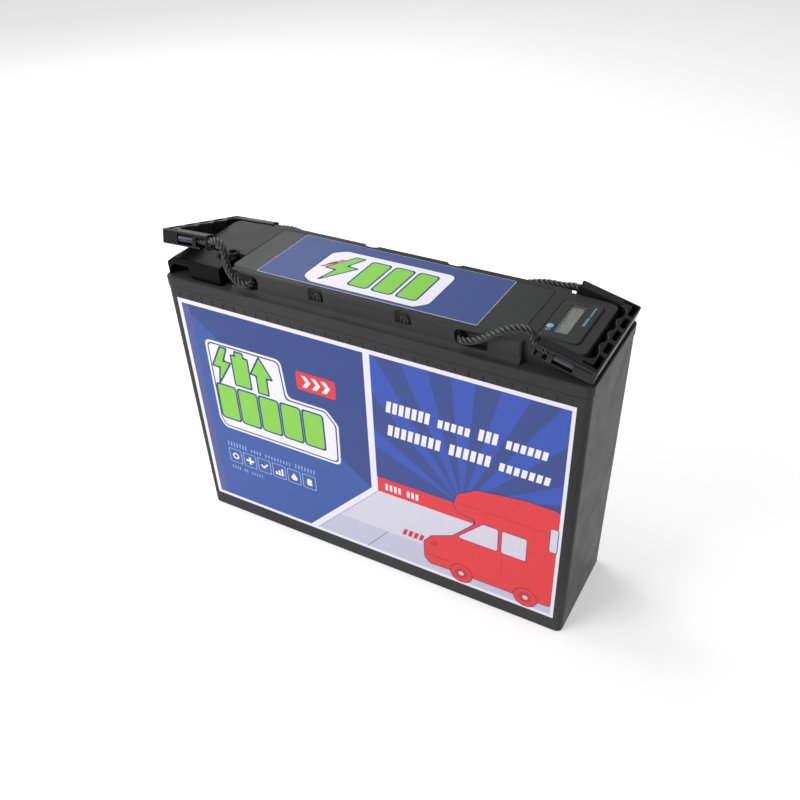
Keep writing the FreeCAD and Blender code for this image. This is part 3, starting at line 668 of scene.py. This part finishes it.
def make_top_art():
    art = Artwork("top_print", on_top, "label_film")
    width, depth = (TOP_HIGH.x - TOP_LOW.x) / MM, (TOP_HIGH.y - TOP_LOW.y) / MM
    art.add("ink_top", 1, soft(rect(0.3, 0.3, width - 0.3, depth - 0.3), 0.8))
    badge = [(44, 12), (52, 7), (146, 7), (153, 14), (153, 60), (52, 60), (44, 54)]
    art.add("ink_outline", 2, soft(grow(badge, 4.4), 9.0))
    art.add("ink_white", 3, soft(grow(badge, 3.4), 8.0))
    symbols = [(scaled(BOLT, 49, 12, 27, 44), 0.9)]
    symbols += [(rect(82 + 22.5 * k, 13, 99 + 22.5 * k, 55), 3.4) for k in range(3)]
    for outline, corner in symbols:
        art.add("ink_outline", 4, soft(grow(outline, 1.5), corner + 1.0))
        art.add("ink_green", 5, soft(outline, corner))
    for rise in (0.0, 6.5):
        streak = [(43.4, 30), (46.2, 30), (55, 42), (52, 42)]
        art.add("ink_red", 4, [(a + rise * 0.5, b + rise) for a, b in streak])
    art.build("battery")


HOUSING_LOW, HOUSING_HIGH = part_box("display_housing")
LCD_LOW, LCD_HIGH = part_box("display_lcd")


def on_housing(a, b, lift):
    """a towards +Y from the middle of the module, b towards -X from its right edge."""
    return (HOUSING_HIGH.x - b * MM, a * MM, HOUSING_HIGH.z + lift * MM)


def on_lcd(a, b, lift):
    return (LCD_LOW.x + a * MM, LCD_LOW.y + b * MM, LCD_HIGH.z + lift * MM)


POWER_MARK_X = 0.1483
POWER_MARK_A = -19.8


def make_display_art():
    """A row of strokes and a power mark on the module, and the display's field, painted a lighter tone
    than its glass border as painted bezel shading.
    """
    marks = Artwork("display_print", on_housing, "button_plastic")
    for shape in dashes((9, 10), -5.0, 4.6, 1.5, 0.75, 2.1, 0.0):
        marks.add("ink_cyan", 1, shape)
    b = (HOUSING_HIGH.x - POWER_MARK_X) / MM
    marks.add("ink_cyan", 1, disc(POWER_MARK_A, b, 1.8), disc(POWER_MARK_A, b, 1.25))
    marks.add("ink_cyan", 1, rect(-20.05, b - 0.2, -19.55, b + 2.3))
    marks.build("battery")
    glass = Artwork("lcd_painted_shading", on_lcd, "lcd_panel")
    width, depth = (LCD_HIGH.x - LCD_LOW.x) / MM, (LCD_HIGH.y - LCD_LOW.y) / MM
    # Painted bezel shading: the field's tone differs from the glass border, which is left wider at the
    # rear and the left.
    glass.add("ink_lcd", 1, soft(rect(2.6, 3.2, width - 2.2, depth - 4.4), 0.4))
    glass.build("battery")


# ---- ropes --------------------------------------------------------------------------------------
ROPE_D = 0.0065
STRANDS = 4
STRAND_PITCH = 0.0172          # one turn of a strand round the rope
STRAND_FULLNESS = 1.06         # strands are a little thicker than round ones that just touch
LOBES = 6                      # yarns round a strand
LOBE_DEPTH = 0.07
RING_POINTS = 18
RING_STEP = 0.0009

# The free stretches of the two ropes, from the ferrule in the front leg to the one in the rear leg.
RIGHT_ROPE = [
    (0.1781, -0.0468, 0.2796), (0.1529, -0.0468, 0.2860), (0.1484, -0.0468, 0.2906),
    (0.1466, -0.0469, 0.2980), (0.1378, -0.0478, 0.2992), (0.1270, -0.0492, 0.2956),
    (0.1172, -0.0498, 0.2894), (0.1086, -0.0498, 0.2832), (0.0998, -0.0498, 0.2786),
    (0.0900, -0.0496, 0.2770), (0.0900, -0.0391, 0.2770), (0.0900, 0.0391, 0.2770),
    (0.0900, 0.0496, 0.2770), (0.1000, 0.0501, 0.2788), (0.1116, 0.0507, 0.2824),
    (0.1232, 0.0506, 0.2846), (0.1344, 0.0506, 0.2844), (0.1448, 0.0502, 0.2870),
    (0.1529, 0.0468, 0.2860), (0.1781, 0.0468, 0.2796),
]
LEFT_ROPE = [
    (-0.1774, -0.0416, 0.3017), (-0.1514, -0.0413, 0.3029), (-0.1404, -0.0422, 0.3078),
    (-0.1328, -0.0438, 0.3056), (-0.1284, -0.0474, 0.2980), (-0.1258, -0.0500, 0.2896),
    (-0.1216, -0.0502, 0.2818), (-0.1144, -0.0498, 0.2768), (-0.1045, -0.0496, 0.2770),
    (-0.1045, -0.0391, 0.2770), (-0.1045, 0.0391, 0.2770), (-0.1045, 0.0496, 0.2770),
    (-0.1146, 0.0499, 0.2788), (-0.1270, 0.0510, 0.2812), (-0.1394, 0.0510, 0.2804),
    (-0.1514, 0.0489, 0.2777), (-0.1774, 0.0486, 0.2765),
]


def smooth_line(name, points):
    """The points of a smooth spline that has the route's points as its control points."""
    curve = bpy.data.curves.new(name, "CURVE")
    curve.dimensions = "3D"
    spline = curve.splines.new("NURBS")
    spline.points.add(len(points) - 1)
    for target, point in zip(spline.points, points):
        target.co = (*point, 1.0)
    spline.order_u = 3
    spline.use_endpoint_u = True
    curve.resolution_u = 24
    holder = bpy.data.objects.new(name, curve)
    line = bpy.data.meshes.new_from_object(holder)
    made = [v.co.copy() for v in line.vertices]
    bpy.data.objects.remove(holder)
    bpy.data.meshes.remove(line)
    bpy.data.curves.remove(curve)
    return made


def evenly(points, step):
    """The same line with points one step apart, and its length."""
    lengths = [0.0]
    for p, q in zip(points, points[1:]):
        lengths.append(lengths[-1] + (q - p).length)
    count = round(lengths[-1] / step)
    made, i = [], 0
    for k in range(count + 1):
        at = lengths[-1] * k / count
        while i < len(points) - 2 and lengths[i + 1] < at:
            i += 1
        part = (at - lengths[i]) / max(lengths[i + 1] - lengths[i], 1e-12)
        made.append(points[i].lerp(points[i + 1], part))
    return made, lengths[-1]


def directions(points):
    """Tangent at each point."""
    last = len(points) - 1
    return [(points[min(i + 1, last)] - points[max(i - 1, 0)]).normalized() for i in range(last + 1)]


def carried_normals(tangents):
    """A normal at each point that turns only as the line bends."""
    normal = tangents[0].orthogonal().normalized()
    made = []
    for tangent in tangents:
        normal = (normal - tangent * normal.dot(tangent)).normalized()
        made.append(normal)
    return made


def strand_rings(line, tangents, normals, step, phase, strand_r, helix_r):
    """One strand's rings of points, each square to the strand's own direction."""
    centres, outward = [], []
    for i, (point, tangent, normal) in enumerate(zip(line, tangents, normals)):
        angle = phase + math.tau * i * step / STRAND_PITCH
        side = normal * math.cos(angle) + tangent.cross(normal) * math.sin(angle)
        centres.append(point + side * helix_r)
        outward.append(side)
    rings = []
    for i, (centre, tangent) in enumerate(zip(centres, directions(centres))):
        u = (outward[i] - tangent * outward[i].dot(tangent)).normalized()
        v = tangent.cross(u)
        twist = -math.tau * i * step / (STRAND_PITCH * 0.8)
        ring = []
        for k in range(RING_POINTS):
            a = math.tau * k / RING_POINTS
            r = strand_r * (1.0 + LOBE_DEPTH * math.cos(LOBES * (a + twist)))
            ring.append(centre + (u * math.cos(a) + v * math.sin(a)) * r)
        rings.append(ring)
    return rings


def add_tube(mesh, rings):
    """A closed tube through rings of points."""
    loops = [[mesh.verts.new(p) for p in ring] for ring in rings]
    for near, far in zip(loops, loops[1:]):
        for k in range(len(near)):
            n = (k + 1) % len(near)
            mesh.faces.new((near[k], near[n], far[n], far[k]))
    mesh.faces.new(loops[0][::-1])
    mesh.faces.new(loops[-1])


def make_rope(name, node, body, points):
    line, length = evenly(smooth_line(name + "_line", points), RING_STEP)
    step = length / (len(line) - 1)
    strand_r = ROPE_D / 2 / (1.0 + 1.0 / math.sin(math.pi / STRANDS)) * STRAND_FULLNESS
    helix_r = ROPE_D / 2 - strand_r
    tangents = directions(line)
    normals = carried_normals(tangents)
    mesh = bmesh.new()
    for k in range(STRANDS):
        phase = math.tau * k / STRANDS
        add_tube(mesh, strand_rings(line, tangents, normals, step, phase, strand_r, helix_r))
    bmesh.ops.recalc_face_normals(mesh, faces=mesh.faces)
    for face in mesh.faces:
        face.smooth = True
    piece = add_piece(name, mesh, "rope_fibre", body)
    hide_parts(node)


def make_ropes():
    make_rope("twisted_rope_right", "rope_right", "handle_right", RIGHT_ROPE)
    make_rope("twisted_rope_left", "rope_left", "handle_left", LEFT_ROPE)


# ---- moulded details of the tub -----------------------------------------------------------------
def add_bar(mesh, place, a0, b0, a1, b1, proud, draft=0.25):
    """A low moulded bar with sloping sides on a face."""
    foot = [(a0, b0), (a1, b0), (a1, b1), (a0, b1)]
    head = grow(foot, -draft)
    under = [mesh.verts.new(place(a, b, -0.3)) for a, b in foot]
    ankle = [mesh.verts.new(place(a, b, 0.0)) for a, b in foot]
    over = [mesh.verts.new(place(a, b, proud)) for a, b in head]
    for near, far in ((under, ankle), (ankle, over)):
        for k in range(4):
            mesh.faces.new((near[k], near[(k + 1) % 4], far[(k + 1) % 4], far[k]))
    mesh.faces.new(over)
    mesh.faces.new(under[::-1])


TICKS = (32, -183.5, 11.8)     # count, first one's left side and pitch
TICK_WIDTH = 1.3
TICK_RISE = (248.9, 253.8)     # the ticks' lower and upper ends above the floor
EDGE_TICKS = (28, 226.0, 7.2)  # count, first one's lower end and pitch downwards
EDGE_TICK_X = (189.4, 190.2)
EDGE_TICK_HEIGHT = 3.4


def on_wall(a, b, lift):
    """a along +X from the middle, b above the floor, on the tub's drafted front wall."""
    foot = FRONT_HIGH.y - FILM * MM
    slope = (FRONT_LOW.y - foot) / LABEL_H
    y = foot + slope * (b - FRONT_LOW.z / MM) + FILM * MM
    return (a * MM, y - lift * MM, b * MM)


def make_tub_marks():
    """A row of ticks above the front label, and a column of smaller ones to its right."""
    mesh = bmesh.new()
    count, first, pitch = TICKS
    for k in range(count):
        a = first + pitch * k
        add_bar(mesh, on_wall, a, TICK_RISE[0], a + TICK_WIDTH, TICK_RISE[1], 0.55)
    count, first, pitch = EDGE_TICKS
    for k in range(count):
        b = first - pitch * k
        add_bar(mesh, on_wall, EDGE_TICK_X[0], b, EDGE_TICK_X[1], b + EDGE_TICK_HEIGHT, 0.35, 0.15)
    bmesh.ops.recalc_face_normals(mesh, faces=mesh.faces)
    add_piece("tub_tick_marks", mesh, "case_plastic", "battery")


# ---- moulded details of the lid -----------------------------------------------------------------
BLOCK_WALL = 0.046             # half depth of the lid's raised block
BLOCK_TOP = 0.286
CLIP_X = 0.0405
CLIP_FLOOR = 0.276
ARCH_LEG = 0.0026
ARCH_REACH = 0.0030
ARCH_THICK = 0.0010
ARCH_STEPS = 12
BOSS_HEIGHT = 0.0044


def add_arch(mesh, foot, reach, thick):
    """Half ring on two short legs, standing on a pocket's floor."""
    crown = foot + Vector((0.0, 0.0, ARCH_LEG))
    angles = [math.pi * k / ARCH_STEPS for k in range(ARCH_STEPS + 1)]
    turns = [(Vector((math.cos(t), 0.0, math.sin(t))), crown) for t in angles]
    turns = [(turns[0][0], foot)] + turns + [(turns[-1][0], foot)]
    rings = []
    for out, middle in turns:
        ring = []
        for k in range(ARCH_STEPS):
            a = math.tau * k / ARCH_STEPS
            along_y = Vector((0.0, thick * math.sin(a), 0.0))
            ring.append(middle + out * (reach + thick * math.cos(a)) + along_y)
        rings.append(ring)
    add_tube(mesh, rings)


def make_clip_catches():
    """A small catch in each of the four clip pockets, and the boss that it grows from."""
    mesh = bmesh.new()
    for x in (-CLIP_X, CLIP_X):
        for side in (-1, 1):
            foot = Vector((x, side * (BLOCK_WALL - 0.0021), CLIP_FLOOR))
            add_arch(mesh, foot, ARCH_REACH, ARCH_THICK)
            low = Vector((x, side * (BLOCK_WALL - 0.0030), CLIP_FLOOR))
            boss = bmesh.ops.create_cone(mesh, cap_ends=True, segments=20,
                                         radius1=0.0020, radius2=0.0017, depth=BOSS_HEIGHT)
            rise = Vector((0.0, 0.0, BOSS_HEIGHT / 2))
            bmesh.ops.translate(mesh, verts=boss["verts"], vec=low + rise)
    bmesh.ops.recalc_face_normals(mesh, faces=mesh.faces)
    add_piece("clip_catches", mesh, "case_plastic", "battery")


def make_edge_beads():
    """Fine beads on the block's top and front wall along its front edge, with gaps at the pockets."""

    def on_block(a, b, lift):
        return (a * MM, b * MM, BLOCK_TOP + lift * MM)

    def on_block_wall(a, b, lift):
        return (a * MM, -BLOCK_WALL - lift * MM, b * MM)

    mesh = bmesh.new()
    for a0, a1 in ((-119.0, -49.5), (-31.5, 31.5), (49.5, 134.0)):
        add_bar(mesh, on_block, a0, -44.7, a1, -43.9, 0.3, 0.2)
    for a0, a1 in ((-31.5, 31.5), (49.5, 81.0)):
        add_bar(mesh, on_block_wall, a0, 282.2, a1, 283.0, 0.3, 0.2)
    bmesh.ops.recalc_face_normals(mesh, faces=mesh.faces)
    add_piece("block_edge_beads", mesh, "case_plastic", "battery")


# ---- floor --------------------------------------------------------------------------------------
def make_floor():
    mesh = bmesh.new()
    corners = rect(-FLOOR_HALF, -FLOOR_HALF, FLOOR_HALF, FLOOR_HALF)
    mesh.faces.new([mesh.verts.new((x, y, 0.0)) for x, y in corners])
    data = bpy.data.meshes.new("studio_floor")
    mesh.to_mesh(data)
    mesh.free()
    data.materials.append(floor_material())
    floor = bpy.data.objects.new("studio_floor", data)
    SCENE.collection.objects.link(floor)


make_camera()
make_ropes()
make_light()
make_floor()
paint_cad_nodes()
make_front_art()
make_top_art()
make_display_art()
make_tub_marks()
make_clip_catches()
make_edge_beads()
